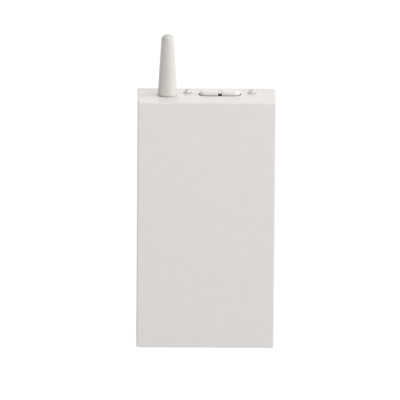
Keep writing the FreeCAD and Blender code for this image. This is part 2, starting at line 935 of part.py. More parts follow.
def filter_capacitor(x, z):
    front = board_y - can_height
    can = post_y(x, z, can_radius, front, board_y)
    return bevel_at(can, vec(0, 1, 0), front, can_bevel)


def filter_capacitors():
    return Part.makeCompound([filter_capacitor(can_x + side * can_spacing / 2, can_z)
                              for side in (-1, 1)])


def fuse():
    body = centred_box(fuse_x, fuse_z, fuse_length - fuse_cap_length, fuse_width,
                       board_y - fuse_depth, board_y)
    caps = [centred_box(fuse_x + side * (fuse_length - fuse_cap_length) / 2, fuse_z,
                        fuse_cap_length, fuse_width + 2 * fuse_cap_margin,
                        board_y - fuse_depth - fuse_cap_margin, board_y) for side in (-1, 1)]
    return fused([body] + caps)


def service_header():
    pieces = []
    for index in range(header_pins):
        z = header_z + (index - (header_pins - 1) / 2) * header_pitch
        base = centred_box(header_x, z, header_pitch, header_pitch, board_y - header_base, board_y)
        pieces.append(base)
        pieces.append(centred_box(header_x, z, header_pin_width, header_pin_width,
                                  board_y - header_base - header_pin_rise, board_y))
    return fused(pieces)


# Power inlet: a round socket that opens downwards behind the hole in the bottom wall

def inlet_body():
    front = inlet_y - inlet_back
    half = inlet_width / 2
    nose = box(inlet_x - half, inlet_x + half, front, board_y, inlet_z,
               inlet_z + inlet_nose_length)
    barrel = post_z(inlet_x, inlet_y, inlet_barrel_radius, inlet_z, inlet_z + inlet_length)
    block = box(inlet_x - half, inlet_x + half, inlet_y, board_y, inlet_z, inlet_z + inlet_length)
    rear = inlet_z + inlet_length
    body = fused([nose, barrel, block])
    bore = post_z(inlet_x, inlet_y, inlet_bore_radius, inlet_z - 1, inlet_z + inlet_bore_depth)
    seat = post_z(inlet_x, inlet_y, inlet_pin_radius + element_clearance,
                  inlet_z, inlet_z + inlet_bore_depth + inlet_pin_seat)
    slit_half = contact_width / 2 + contact_clearance
    slit = box(inlet_x - slit_half, inlet_x + slit_half,
               inlet_y - inlet_barrel_radius - 1, inlet_y,
               inlet_z + inlet_nose_length + inlet_slit_margin,
               rear - inlet_pin_seat - inlet_slit_margin)
    slit = slit.cut(post_z(inlet_x, inlet_y, inlet_bore_radius - inlet_slit_floor, inlet_z, rear))
    return body.cut([bore, seat, slit])


def inlet_pin():
    foot = inlet_z + inlet_bore_depth - inlet_pin_length
    return post_z(inlet_x, inlet_y, inlet_pin_radius, foot,
                  inlet_z + inlet_bore_depth + inlet_pin_seat)


def inlet_contact():
    # A leaf that lies in the slit at the front of the barrel.
    leaf_y = inlet_y - inlet_barrel_radius
    half = contact_width / 2
    return box(inlet_x - half, inlet_x + half, leaf_y, leaf_y + contact_thickness,
               inlet_z + inlet_nose_length + inlet_slit_margin + contact_clearance,
               inlet_z + inlet_length - inlet_pin_seat - inlet_slit_margin - contact_clearance)


# Backup battery

def battery():
    cell = centred_box(0, battery_z + battery_height / 2, battery_width, battery_height,
                       battery_y, battery_y + battery_thickness)
    return round_along(cell, vec(0, 0, 1), battery_corner_radius)


def battery_pad():
    return centred_box(0, battery_z + battery_height / 2, battery_width - 2 * battery_pad_inset,
                       battery_height - 2 * battery_pad_inset, inner_front_y, battery_y)


def battery_plug_face_y():
    return board_y - battery_socket_depth - battery_plug_depth


def battery_lead(side):
    x = battery_socket_x + side * battery_lead_spacing / 2
    y = battery_y + battery_thickness / 2
    route = [vec(x, y, battery_z + battery_height),
             vec(x, y, battery_socket_z),
             vec(x, battery_plug_face_y(), battery_socket_z)]
    return rounded_tube(route, battery_lead_radius)


def battery_socket():
    block = centred_box(battery_socket_x, battery_socket_z, battery_socket_width,
                        battery_socket_height, board_y - battery_socket_depth, board_y)
    mouth = centred_box(battery_socket_x, battery_socket_z,
                        battery_socket_width - 2 * battery_plug_margin,
                        battery_socket_height - 2 * battery_plug_margin,
                        board_y - battery_socket_depth - 1, board_y - battery_socket_floor)
    return block.cut(mouth)


def battery_plug():
    inset = battery_plug_margin + battery_plug_clearance
    width = battery_socket_width - 2 * inset
    height = battery_socket_height - 2 * inset
    front = board_y - battery_socket_depth
    inside = centred_box(battery_socket_x, battery_socket_z, width, height, front,
                         board_y - battery_socket_floor)
    outside = centred_box(battery_socket_x, battery_socket_z, width + 2 * battery_plug_shoulder,
                          height + 2 * battery_plug_shoulder,
                          battery_plug_face_y(), front)
    return fused([inside, outside])


# Main board

def main_board():
    board = box(-board_half_width, board_half_width, board_y, board_back_y, board_z, board_top_z)
    reach = boss_radius + board_notch_clearance
    cuts = []
    for x, z in cover_screw_places():
        side = math.copysign(1, x)
        x_ends = sorted((side * (boss_x - reach), side * (half_width + 1)))
        z_ends = (boss_high_z - reach, body_height) if z > body_height / 2 else (0, z + reach)
        cuts.append(box(x_ends[0], x_ends[1], board_y - 1, board_back_y + 1,
                        z_ends[0], z_ends[1]))
    for x, z in board_screw_places():
        cuts.append(post_y(x, z, board_screw_radius + screw_clearance,
                           board_y - 1, board_back_y + 1))
    for side in (-1, 1):
        for edge in (-1, 1):
            x = switch_x(side) + edge * (switch_width + bracket_thickness) / 2
            z = switch_z + bracket_leg_width / 2
            cuts.append(centred_box(x, z, bracket_hole_size, bracket_hole_size,
                                    board_y - 1, board_back_y + 1))
    return board.cut(cuts)


# Every piece under its own name

parts = {
    "front_housing": front_housing,
    "back_cover": back_cover,
    "cover_screws": cover_screws,
    "main_board": main_board,
    "board_screws": board_screws,
    "left_key": lambda: key(-1),
    "right_key": lambda: key(1),
    "key_seal": key_seal,
    "left_switch_body": lambda: switch_body(-1),
    "right_switch_body": lambda: switch_body(1),
    "left_switch_stem": lambda: switch_stem(-1),
    "right_switch_stem": lambda: switch_stem(1),
    "left_switch_bracket": lambda: switch_bracket(-1),
    "right_switch_bracket": lambda: switch_bracket(1),
    "left_lens": lambda: lamp_lens(-1),
    "right_lens": lambda: lamp_lens(1),
    "left_lamp": lambda: lamp(-1),
    "right_lamp": lambda: lamp(1),
    "antenna_sleeve": antenna_sleeve,
    "antenna_element": antenna_element,
    "antenna_stud": antenna_stud,
    "antenna_washer": antenna_washer,
    "antenna_nut": antenna_nut,
    "antenna_lead": antenna_lead,
    "antenna_lead_plug": antenna_lead_plug,
    "antenna_socket": antenna_socket,
    "radio_board": radio_board,
    "radio_shield": radio_shield,
    "radio_crystal": radio_crystal,
    "processor": processor,
    "charger_chip": charger_chip,
    "voltage_regulator": voltage_regulator,
    "power_inductor": power_inductor,
    "filter_capacitors": filter_capacitors,
    "fuse": fuse,
    "service_header": service_header,
    "inlet_body": inlet_body,
    "inlet_pin": inlet_pin,
    "inlet_contact": inlet_contact,
    "battery": battery,
    "battery_pad": battery_pad,
    "battery_lead_red": lambda: battery_lead(-1),
    "battery_lead_black": lambda: battery_lead(1),
    "battery_plug": battery_plug,
    "battery_socket": battery_socket,
}


def main():
    os.makedirs("parts", exist_ok=True)
    for name, make in parts.items():
        shape = make()
        if not shape.isValid():
            raise ValueError(name + " is not a valid shape")
        shape.exportStep("parts/" + name + ".step")
        print(name, "solids", len(shape.Solids), "volume", round(shape.Volume, 1))


main()
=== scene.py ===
"""Dresses the wireless signal repeater: off-white moulded casing, stub antenna, press keys,
clear lamp lenses, fasteners and the parts inside, with the studio that it stands in."""

import math

import bmesh
import bpy
from bpy.props import FloatProperty, FloatVectorProperty, IntProperty, PointerProperty
from mathutils import Matrix, Vector


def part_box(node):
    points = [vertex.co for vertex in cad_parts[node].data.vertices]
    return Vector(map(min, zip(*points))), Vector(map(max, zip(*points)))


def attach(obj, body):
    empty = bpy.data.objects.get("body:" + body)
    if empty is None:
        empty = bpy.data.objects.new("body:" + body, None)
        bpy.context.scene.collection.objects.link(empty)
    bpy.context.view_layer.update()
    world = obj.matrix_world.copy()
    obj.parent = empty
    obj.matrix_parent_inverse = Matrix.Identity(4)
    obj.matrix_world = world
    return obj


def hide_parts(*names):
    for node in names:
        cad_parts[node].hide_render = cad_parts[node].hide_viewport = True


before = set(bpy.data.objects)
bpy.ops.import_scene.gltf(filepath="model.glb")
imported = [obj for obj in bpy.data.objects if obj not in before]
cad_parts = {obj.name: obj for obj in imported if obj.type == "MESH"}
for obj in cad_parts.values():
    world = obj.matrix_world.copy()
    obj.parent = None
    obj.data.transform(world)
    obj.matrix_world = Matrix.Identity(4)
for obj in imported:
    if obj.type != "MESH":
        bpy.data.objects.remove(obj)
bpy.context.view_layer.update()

bl_info = {
    "name": "Wireless signal repeater",
    "version": (1, 0, 0),
    "blender": (4, 5, 0),
    "location": "3D View > Sidebar > Repeater",
    "description": "Builds the finish of a wireless signal repeater piece by piece",
    "category": "Object",
}

MM = 0.001
MOULDED_CREASE = math.radians(35)    # edges that turn more than this stay sharp on moulded pieces
SCREW_CREASE = math.radians(32)      # and on screws
USUAL_NOISE = (0.3, 0.7)             # a noise texture seldom leaves this range
sleeve_low, sleeve_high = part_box("antenna_sleeve")
casing_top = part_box("front_housing")[1].z


# Sizes, colours and studio values

class RepeaterSizes(bpy.types.PropertyGroup):
    antenna_base_radius: FloatProperty(
        name="Antenna base radius", description="Radius of the antenna where it meets the casing",
        default=(sleeve_high.x - sleeve_low.x) / 2, unit="LENGTH")
    antenna_tip_radius: FloatProperty(
        name="Antenna tip radius", description="Radius of the taper under the crown",
        default=4.05 * MM, unit="LENGTH")
    antenna_crown: FloatProperty(
        name="Antenna crown", description="Rise of the rounded end above the taper",
        default=2.4 * MM, unit="LENGTH")
    antenna_shoulder: FloatProperty(
        name="Antenna shoulder", description="How softly the taper runs into the crown",
        default=0.8 * MM, unit="LENGTH")
    antenna_foot: FloatProperty(
        name="Antenna foot groove", description="Height of the narrow groove at the antenna's foot",
        default=0.55 * MM, unit="LENGTH")
    antenna_foot_depth: FloatProperty(
        name="Antenna foot groove depth", description="How far that groove goes in",
        default=0.9 * MM, unit="LENGTH")
    key_edge: FloatProperty(
        name="Key edge", description="Radius of the soft edge round a key's face",
        default=0.5 * MM, unit="LENGTH")
    key_crown: FloatProperty(
        name="Key crown", description="Rise of a key's face towards its middle",
        default=0.14 * MM, unit="LENGTH")
    lens_wall: FloatProperty(
        name="Lens wall", description="Thickness of the clear dome over its hollow",
        default=0.9 * MM, unit="LENGTH")
    cover_head_radius: FloatProperty(
        name="Cover screw head", description="Radius of the heads in the back cover",
        default=2.6 * MM, unit="LENGTH")
    board_head_radius: FloatProperty(
        name="Board screw head", description="Radius of the heads on the main board",
        default=2.1 * MM, unit="LENGTH")
    turning_steps: IntProperty(
        name="Turning steps", description="Flats round each turned piece", default=96, min=12)


class RepeaterColours(bpy.types.PropertyGroup):
    casing: FloatVectorProperty(
        name="Casing", description="Off-white of the moulded casing",
        default=(0.835, 0.805, 0.79), subtype="COLOR", size=3)
    keys: FloatVectorProperty(
        name="Keys", description="White of the press keys",
        default=(0.83, 0.81, 0.795), subtype="COLOR", size=3)
    # Partly the sleeve's own warm grey-white and partly painted shade: set darker than the sleeve's
    # plastic so that its shaded left side comes out dark.
    antenna: FloatVectorProperty(
        name="Antenna", description="Warm grey-white of the antenna sleeve",
        default=(0.672, 0.649, 0.618), subtype="COLOR", size=3)
    seal: FloatVectorProperty(
        name="Seal", description="Black of the silicone round the keys",
        default=(0.006, 0.006, 0.0065), subtype="COLOR", size=3)
    board: FloatVectorProperty(
        name="Board", description="Solder mask of the main board",
        default=(0.012, 0.115, 0.045), subtype="COLOR", size=3)


class RepeaterStudio(bpy.types.PropertyGroup):
    lens: FloatProperty(
        name="Focal length", description="Focal length of the view in millimetres",
        default=829.0)
    distance: FloatProperty(
        name="Distance", description="Distance from the view to the point it looks at",
        default=6.0, unit="LENGTH")
    target: FloatVectorProperty(
        name="Target", description="Point on the plane of the front face that the view looks at",
        default=(-4.1 * MM, -20 * MM, 99.7 * MM), subtype="XYZ", unit="LENGTH", size=3, precision=4)
    azimuth: FloatProperty(
        name="Azimuth", description="Turn of the view about the object",
        default=math.radians(-0.6), subtype="ANGLE")
    elevation: FloatProperty(
        name="Elevation", description="Height of the view above the horizon",
        default=math.radians(14.2), subtype="ANGLE")
    roll: FloatProperty(
        name="Roll", description="Tilt of the view about its own axis",
        default=math.radians(0.42), subtype="ANGLE")
    key_strength: FloatProperty(
        name="Key light", description="Strength of the low soft light on the right", default=1.50)
    top_strength: FloatProperty(
        name="Top light", description="Strength of the wide soft light overhead", default=1.12)
    back_strength: FloatProperty(
        name="Back light", description="Strength of the soft light behind", default=0.90)
    front_power: FloatProperty(
        name="Front light", description="Power of the soft panel in front", default=8.90,
        unit="POWER")
    paper: FloatProperty(
        name="Floor brightness",
        description="Brightness of the floor to the eye and in reflections", default=0.9)
    bounce: FloatProperty(
        name="Floor bounce",
        description="Brightness of the floor as the object's dull faces feel it", default=0.52)
    fill: FloatProperty(
        name="Fill", description="Brightness of the room round the object", default=0.22)


# Materials

def material_with(name, colour, roughness, metallic=0.0):
    """A new material, with its tree and its shader."""
    material = bpy.data.materials.new(name)
    material.use_nodes = True
    shader = material.node_tree.nodes["Principled BSDF"]
    shader.inputs["Base Color"].default_value = (*colour, 1)
    shader.inputs["Roughness"].default_value = roughness
    shader.inputs["Metallic"].default_value = metallic
    return material, material.node_tree, shader


def noise(tree, size, detail=2.0, stretch=None):
    """A noise about as large as size, on the piece's own coordinates."""
    place = tree.nodes.new("ShaderNodeTexCoord")
    texture = tree.nodes.new("ShaderNodeTexNoise")
    texture.inputs["Scale"].default_value = 1 / size
    texture.inputs["Detail"].default_value = detail
    source = place.outputs["Object"]
    if stretch:
        mapping = tree.nodes.new("ShaderNodeMapping")
        mapping.inputs["Scale"].default_value = stretch
        tree.links.new(source, mapping.inputs["Vector"])
        source = mapping.outputs["Vector"]
    tree.links.new(source, texture.inputs["Vector"])
    return texture.outputs["Fac"]


def vary_colour(tree, shader, fac, low, high):
    """Lets the colour drift from low to high as fac does."""
    ramp = tree.nodes.new("ShaderNodeValToRGB")
    for stop, position, colour in zip(ramp.color_ramp.elements, USUAL_NOISE, (low, high)):
        stop.position = position
        stop.color = (*colour, 1)
    tree.links.new(fac, ramp.inputs["Fac"])
    tree.links.new(ramp.outputs["Color"], shader.inputs["Base Color"])


def vary_roughness(tree, shader, fac, low, high):
    """Lets the roughness drift from low to high as fac does."""
    spread = tree.nodes.new("ShaderNodeMapRange")
    spread.inputs["From Min"].default_value = USUAL_NOISE[0]
    spread.inputs["From Max"].default_value = USUAL_NOISE[1]
    spread.inputs["To Min"].default_value = low
    spread.inputs["To Max"].default_value = high
    tree.links.new(fac, spread.inputs["Value"])
    tree.links.new(spread.outputs["Result"], shader.inputs["Roughness"])


def grain(tree, shader, fac, depth, strength):
    """Raises the surface by up to depth where fac is high."""
    bump = tree.nodes.new("ShaderNodeBump")
    bump.inputs["Distance"].default_value = depth
    bump.inputs["Strength"].default_value = strength
    tree.links.new(fac, bump.inputs["Height"])
    tree.links.new(bump.outputs["Normal"], shader.inputs["Normal"])


def shade(colour, factor):
    """The colour made lighter or darker."""
    return tuple(min(1.0, c * factor) for c in colour)


def moulded_plastic(name, colour, roughness, grain_size, grain_depth, mottle=0.012):
    """Plastic with a fine moulded grain, a faint mottle and patches of more and less gloss."""
    material, tree, shader = material_with(name, colour, roughness)
    shader.inputs["IOR"].default_value = 1.5
    vary_colour(tree, shader, noise(tree, size=9 * MM, detail=3.0), shade(colour, 1 - mottle),
                shade(colour, 1 + mottle))
    patches = 0.04
    vary_roughness(tree, shader, noise(tree, size=4 * MM, detail=3.0), roughness - patches,
                   roughness + patches)
    grain(tree, shader, noise(tree, grain_size, detail=4.0), grain_depth, strength=0.5)
    return material


def worked_metal(name, colour, roughness, stretch):
    """Metal with fine tool lines across the axis on which stretch is largest."""
    material, tree, shader = material_with(name, colour, roughness, metallic=1.0)
    lines = noise(tree, size=0.4 * MM, detail=3.0, stretch=stretch)
    vary_colour(tree, shader, noise(tree, size=3 * MM, detail=3.0), shade(colour, 0.94),
                shade(colour, 1.04))
    polish = 0.07
    vary_roughness(tree, shader, lines, roughness - polish, roughness + polish)
    grain(tree, shader, lines, 0.01 * MM, strength=0.4)
    return material


def clear_plastic(name, colour, roughness=0.06):
    """Clear moulded plastic, slightly milky, with a faint waviness."""
    material, tree, shader = material_with(name, colour, roughness)
    shader.inputs["IOR"].default_value = 1.49
    shader.inputs["Transmission Weight"].default_value = 0.45
    vary_roughness(tree, shader, noise(tree, size=1.2 * MM, detail=2.0), 0.04, 0.1)
    grain(tree, shader, noise(tree, size=2.5 * MM, detail=1.0), 0.02 * MM, strength=0.3)
    return material


def solder_mask(name, colour, pitch):
    """Glossy lacquer over copper tracks, which show as a lighter raised web."""
    material, tree, shader = material_with(name, colour, roughness=0.28)
    place = tree.nodes.new("ShaderNodeTexCoord")
    turn = tree.nodes.new("ShaderNodeMapping")
    turn.inputs["Rotation"].default_value = (math.pi / 2, 0, 0)
    tracks = tree.nodes.new("ShaderNodeTexBrick")
    tracks.offset = 0.37
    tracks.inputs["Scale"].default_value = 1.0
    tracks.inputs["Brick Width"].default_value = 3.7 * pitch
    tracks.inputs["Row Height"].default_value = pitch
    tracks.inputs["Mortar Size"].default_value = 0.09 * pitch
    tracks.inputs["Mortar Smooth"].default_value = 0.2
    tracks.inputs["Color1"].default_value = (*colour, 1)
    tracks.inputs["Color2"].default_value = (*shade(colour, 1.12), 1)
    tracks.inputs["Mortar"].default_value = (*shade(colour, 1.9), 1)
    tree.links.new(place.outputs["Object"], turn.inputs["Vector"])
    tree.links.new(turn.outputs["Vector"], tracks.inputs["Vector"])
    tree.links.new(tracks.outputs["Color"], shader.inputs["Base Color"])
    vary_roughness(tree, shader, noise(tree, size=2 * MM, detail=3.0), 0.24, 0.36)
    grain(tree, shader, tracks.outputs["Fac"], 0.035 * MM, strength=0.6)
    return material


def dress(node, material):
    """Gives a node that keeps its CAD mesh its material."""
    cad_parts[node].material_slots[0].material = material


# Meshes

def object_from(mesh_builder, name, material, body, slot, *nodes):
    """Turns a bmesh into a piece that rides on a body and stands for its nodes."""
    mesh = bpy.data.meshes.new(name)
    mesh_builder.to_mesh(mesh)
    mesh_builder.free()
    for polygon in mesh.polygons:
        polygon.use_smooth = True
    mesh.materials.append(material)
    piece = bpy.data.objects.new(name, mesh)
    bpy.context.scene.collection.objects.link(piece)
    settle(piece, body, slot, *nodes)
    return piece


def settle(piece, body, slot, *nodes):
    """Says what a piece rides on and hides the nodes that it stands for; slot is not used."""
    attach(piece, body)
    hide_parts(*nodes)


def keep_creases(mesh, angle):
    """Marks each edge that turns more than angle as sharp, so rounds stay smooth beside flats."""
    bm = bmesh.new()
    bm.from_mesh(mesh)
    for edge in bm.edges:
        edge.smooth = len(edge.link_faces) == 2 and edge.calc_face_angle(0) < angle
    bm.to_mesh(mesh)
    bm.free()


def turned(profile, x, y, steps):
    """A solid of revolution about the upright line through x, y; profile runs from axis to axis."""
    bm = bmesh.new()
    around = [(math.cos(2 * math.pi * i / steps), math.sin(2 * math.pi * i / steps))
              for i in range(steps)]
    on_axis = 1e-7
    rings = []
    for radius, z in profile:
        if radius < on_axis:
            rings.append([bm.verts.new((x, y, z))])
        else:
            rings.append([bm.verts.new((x + radius * c, y + radius * s, z)) for c, s in around])
    for low, high in zip(rings, rings[1:]):
        for i in range(steps):
            j = (i + 1) % steps
            corners = [low[i % len(low)], low[j % len(low)],
                       high[j % len(high)], high[i % len(high)]]
            corners = [c for k, c in enumerate(corners) if c not in corners[:k]]
            if len(corners) > 2:
                bm.faces.new(corners)
    bmesh.ops.recalc_face_normals(bm, faces=bm.faces)
    return bm


# Geometry Nodes helpers

class Tree:
    """A node group whose inputs have names, with short calls to add and join nodes."""

    def __init__(self, name, inputs):
        self.group = bpy.data.node_groups.new(name, "GeometryNodeTree")
        face = self.group.interface
        for label, kind, value in inputs:
            socket = face.new_socket(name=label, in_out="INPUT", socket_type="NodeSocket" + kind)
            if value is not None:
                socket.default_value = value
        face.new_socket(name="Geometry", in_out="OUTPUT", socket_type="NodeSocketGeometry")
        self.given = self.group.nodes.new("NodeGroupInput").outputs
        self.made = self.group.nodes.new("NodeGroupOutput").inputs

    def add(self, kind, inputs=None, **settings):
        """Adds a node of that kind with its settings, and joins or sets its inputs."""
        node = self.group.nodes.new(kind)
        for key, value in settings.items():
            setattr(node, key, value)
        for key, value in (inputs or {}).items():
            self.put(node.inputs[key], value)
        return node

    def put(self, socket, value):
        """Joins another node's output to the socket, or sets it to a plain value."""
        if isinstance(value, bpy.types.NodeSocket):
            self.group.links.new(value, socket)
        else:
            socket.default_value = value

    def math(self, operation, a, b=0.0):
        """The output of one sum of a and b."""
        node = self.add("ShaderNodeMath", {0: a, 1: b}, operation=operation)
        return node.outputs[0]

    def finish(self, geometry, material):
        """Ends the group in real, smooth faces of one material."""
        whole = self.add("GeometryNodeRealizeInstances", {"Geometry": geometry})
        smooth = self.add("GeometryNodeSetShadeSmooth", {"Geometry": whole.outputs[0]})
        coat = self.add("GeometryNodeSetMaterial",
                        {"Geometry": smooth.outputs[0], "Material": material})
        self.group.links.new(coat.outputs[0], self.made["Geometry"])


def grown(name, tree, values, start=None):
    """Runs a tree on an object, from a start mesh if given, and keeps the result as its mesh."""
    mesh = start or bpy.data.meshes.new(name)
    piece = bpy.data.objects.new(name, mesh)
    bpy.context.scene.collection.objects.link(piece)
    modifier = piece.modifiers.new(name, "NODES")
    modifier.node_group = tree.group
    for item in tree.group.interface.items_tree:
        if item.in_out == "INPUT" and item.name in values:
            modifier[item.identifier] = values[item.name]
    whole = piece.evaluated_get(bpy.context.evaluated_depsgraph_get())
    plain = bpy.data.meshes.new_from_object(whole)
    piece.modifiers.remove(modifier)
    piece.data = plain
    plain.name = name
    return piece


def points_mesh(name, places):
    """A mesh of loose points."""
    mesh = bpy.data.meshes.new(name)
    mesh.from_pydata(places, [], [])
    return mesh


# Antenna

def antenna_tree(material):
    """A tube that tapers upwards and runs through a soft shoulder into a crown like a sphere's."""
    tree = Tree("tapered_sleeve", [
        ("Geometry", "Geometry", None), ("Base Radius", "Float", 1.0), ("Tip Radius", "Float", 1.0),
        ("Height", "Float", 1.0), ("Crown", "Float", 0.1), ("Shoulder", "Float", 0.1),
        ("Groove", "Float", 0.0), ("Groove Depth", "Float", 0.0), ("Steps", "Int", 96),
        ("Foot", "Vector", (0.0, 0.0, 0.0))])
    given = tree.given
    rows = 96
    tube = tree.add("GeometryNodeMeshCylinder", {
        "Vertices": given["Steps"], "Side Segments": rows, "Radius": 1.0, "Depth": 1.0},
        fill_type="TRIANGLE_FAN")
    position = tree.add("GeometryNodeInputPosition")
    part = tree.add("ShaderNodeSeparateXYZ", {0: position.outputs[0]})
    along = tree.math("ADD", part.outputs["Z"], 0.5)
    # The rows crowd towards the groove and the tip, where the shape turns most.
    swing = tree.math("COSINE", tree.math("MULTIPLY", along, math.pi))
    height = tree.math("MULTIPLY", given["Height"],
                       tree.math("SUBTRACT", 0.5, tree.math("MULTIPLY", swing, 0.5)))
    straight = tree.math("SUBTRACT", given["Height"], given["Crown"])
    slope = tree.math("DIVIDE", tree.math("SUBTRACT", given["Tip Radius"], given["Base Radius"]),
                      straight)
    taper = tree.math("ADD", given["Base Radius"], tree.math("MULTIPLY", slope, height))
    # The crown is the top of a ball with the tip's radius at the height where the crown starts.
    square = tree.math("ADD", tree.math("MULTIPLY", given["Tip Radius"], given["Tip Radius"]),
                       tree.math("MULTIPLY", given["Crown"], given["Crown"]))
    ball = tree.math("DIVIDE", square, tree.math("MULTIPLY", given["Crown"], 2.0))
    offset = tree.math("SUBTRACT", height, tree.math("SUBTRACT", given["Height"], ball))
    above = tree.math("MAXIMUM", offset, 0.0)
    below = tree.math("MINIMUM", offset, 0.0)
    cap = tree.math("SQRT", tree.math("MAXIMUM", tree.math(
        "SUBTRACT", tree.math("MULTIPLY", ball, ball), tree.math("MULTIPLY", above, above)), 0.0))
    crown = tree.math("SUBTRACT", cap, below)
    joined = tree.add("ShaderNodeMath", {0: taper, 1: crown, 2: given["Shoulder"]},
                      operation="SMOOTH_MIN")
    radius = tree.math("MAXIMUM", joined.outputs[0], 0.0)
    in_groove = tree.math("LESS_THAN", height, given["Groove"])
    narrow = tree.math("SUBTRACT", radius, tree.math("MULTIPLY", in_groove, given["Groove Depth"]))
    x = tree.math("MULTIPLY", part.outputs["X"], narrow)
    y = tree.math("MULTIPLY", part.outputs["Y"], narrow)
    place = tree.add("ShaderNodeCombineXYZ", {0: x, 1: y, 2: height})
    shift = tree.add("ShaderNodeVectorMath", {0: place.outputs[0], 1: given["Foot"]},
                     operation="ADD")
    shaped = tree.add("GeometryNodeSetPosition", {"Geometry": tube.outputs["Mesh"],
                                                  "Position": shift.outputs[0]})
    closed = tree.add("GeometryNodeMergeByDistance",
                      {"Geometry": shaped.outputs[0], "Distance": 0.001 * MM})
    tree.finish(closed.outputs[0], material)
    return tree


# Keys

def key_outline(inner_x, tip_x, low_y, high_y, inset, corner, tip_steps=20, corner_steps=4):
    """One key from above: a flat inner end with small corners and a half-round outer end."""
    side = math.copysign(1, tip_x - inner_x)
    middle = (low_y + high_y) / 2
    reach = (high_y - low_y) / 2 - inset
    centre_x = tip_x - side * (high_y - low_y) / 2
    small = max(corner - inset, 0.05 * MM)
    flat_x = inner_x + side * inset
    points = []
    for i in range(tip_steps + 1):
        a = math.pi * (i / tip_steps - 0.5)
        points.append((centre_x + side * reach * math.cos(a), middle + reach * math.sin(a)))
    for turn in (0, 1):
        for i in range(corner_steps + 1):
            a = math.pi / 2 * (i / corner_steps + turn)
            cy = middle + (reach - small) * (1 - 2 * turn)
            points.append((flat_x + side * small * (1 - math.sin(a)), cy + small * math.cos(a)))
    return points


def ring_of(bm, outline, z):
    """The outline as a ring of points at one height."""
    return [bm.verts.new((x, y, z)) for x, y in outline]


def bridge(bm, low, high):
    """A band of faces between two rings of like count."""
    count = len(low)
    for i in range(count):
        j = (i + 1) % count
        bm.faces.new((low[i], low[j], high[j], high[i]))


def key_cap(node, side, edge, crown):
    """A press key: flange, straight wall, soft edge and a slightly crowned face over its post."""
    flange, flange_lift, flange_height = 1.0 * MM, 2.0 * MM, 1.2 * MM
    corner, edge_steps, face_steps = 0.5 * MM, 6, 7
    post_radius, post_edge, post_overlap, post_steps = 1.8 * MM, 0.2 * MM, 0.1 * MM, 32
    low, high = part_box(node)
    inner_x, tip_x = (high.x, low.x + flange) if side < 0 else (low.x, high.x - flange)
    front, back = low.y + flange, high.y - flange
    flange_z = low.z + flange_lift
    flange_top = flange_z + flange_height
    middle = Vector(((inner_x + tip_x) / 2, (front + back) / 2))

    def outline(inset, grow=0.0):
        return key_outline(inner_x, tip_x + side * grow, front - grow, back + grow, inset, corner)

    bm = bmesh.new()
    rings = [ring_of(bm, outline(0, flange), flange_z), ring_of(bm, outline(0, flange), flange_top),
             ring_of(bm, outline(0), flange_top), ring_of(bm, outline(0), high.z - crown - edge)]
    for i in range(1, edge_steps + 1):
        a = math.pi / 2 * i / edge_steps
        rings.append(ring_of(bm, outline(edge * (1 - math.cos(a))),
                             high.z - crown - edge * (1 - math.sin(a))))
    rim = outline(edge)
    for i in range(1, face_steps):
        t = i / face_steps
        place = [(x + (middle.x - x) * t, y + (middle.y - y) * t) for x, y in rim]
        rings.append(ring_of(bm, place, high.z - crown * (1 - t) ** 2))
    for below, above in zip(rings, rings[1:]):
        bridge(bm, below, above)
    peak = bm.verts.new((middle.x, middle.y, high.z))
    last = rings[-1]
    for i in range(len(last)):
        bm.faces.new((last[i], last[(i + 1) % len(last)], peak))
    bm.faces.new(list(reversed(rings[0])))
    bmesh.ops.recalc_face_normals(bm, faces=bm.faces)
    post = turned([(0, low.z), (post_radius - post_edge, low.z), (post_radius, low.z + post_edge),
                   (post_radius, flange_z + post_overlap), (0, flange_z + post_overlap)],
                  middle.x, middle.y, post_steps)
    spare = bpy.data.meshes.new("post")
    post.to_mesh(spare)
    post.free()
    bm.from_mesh(spare)
    bpy.data.meshes.remove(spare)
    return bm


# Lamp lenses

def quarter(steps, first=0):
    """Angles from level to upright in equal steps."""
    return [math.pi / 2 * i / steps for i in range(first, steps + 1)]


def lens_profile(low, high, wall):
    """Radius and height of a domed lens with a collar, hollow from below."""
    shank, collar, collar_rise = 1.95 * MM, 2.95 * MM, 0.6 * MM
    soft, fillet = 0.2 * MM, 0.1 * MM
    seat, collar_top = casing_top, casing_top + collar_rise
    dome_z = high.z - shank
    inner = shank - wall
    profile = [(inner * math.cos(a), dome_z - wall + inner * math.sin(a))
               for a in reversed(quarter(8))]
    profile += [(inner, low.z), (shank - soft, low.z), (shank, low.z + soft), (shank, seat),
                (collar - soft, seat), (collar, seat + soft)]
    profile += [(collar - soft + soft * math.cos(a), collar_top - soft + soft * math.sin(a))
                for a in quarter(4, 1)]
    profile += [(shank + fillet, collar_top), (shank, collar_top + fillet)]
    profile += [(shank * math.cos(a), dome_z + shank * math.sin(a)) for a in quarter(16)]
    profile[0] = (0, profile[0][1])
    profile[-1] = (0, high.z)
    return profile


# Screws

def screw_profile(head, height, shank, length):
    """Radius and height of a pan-head screw with its seat at 0."""
    blunt, groove, soft, rise = shank * 0.7, 0.05 * MM, 0.12 * MM, head * 0.32
    profile = [(0, -length), (blunt, -length), (shank, -length + shank), (shank, -groove),
               (shank, 0), (head - soft, 0), (head, soft), (head, height - rise)]
    profile += [(head - rise * (1 - math.cos(a)), height - rise * (1 - math.sin(a)))
                for a in quarter(6, 1)]
    return profile + [(0, height)]


def cross_cutter(height, recess):
    """Two crossed wedges, narrower below, that cut the recess into a head of that height."""
    bottom = (recess * 0.5, recess * 0.2, height - recess * 0.5)
    top = (recess * 1.0, recess * 0.26, height + 0.1 * MM)
    bm = bmesh.new()
    for turn in (0, math.pi / 2):
        wedge = bmesh.ops.create_cube(bm, size=1.0)["verts"]
        for vert in wedge:
            width, thick, z = bottom if vert.co.z < 0 else top
            vert.co = Vector((vert.co.x * width, vert.co.y * thick, z))
        bmesh.ops.rotate(bm, verts=wedge, cent=(0, 0, 0), matrix=Matrix.Rotation(turn, 3, "Z"))
    return bm


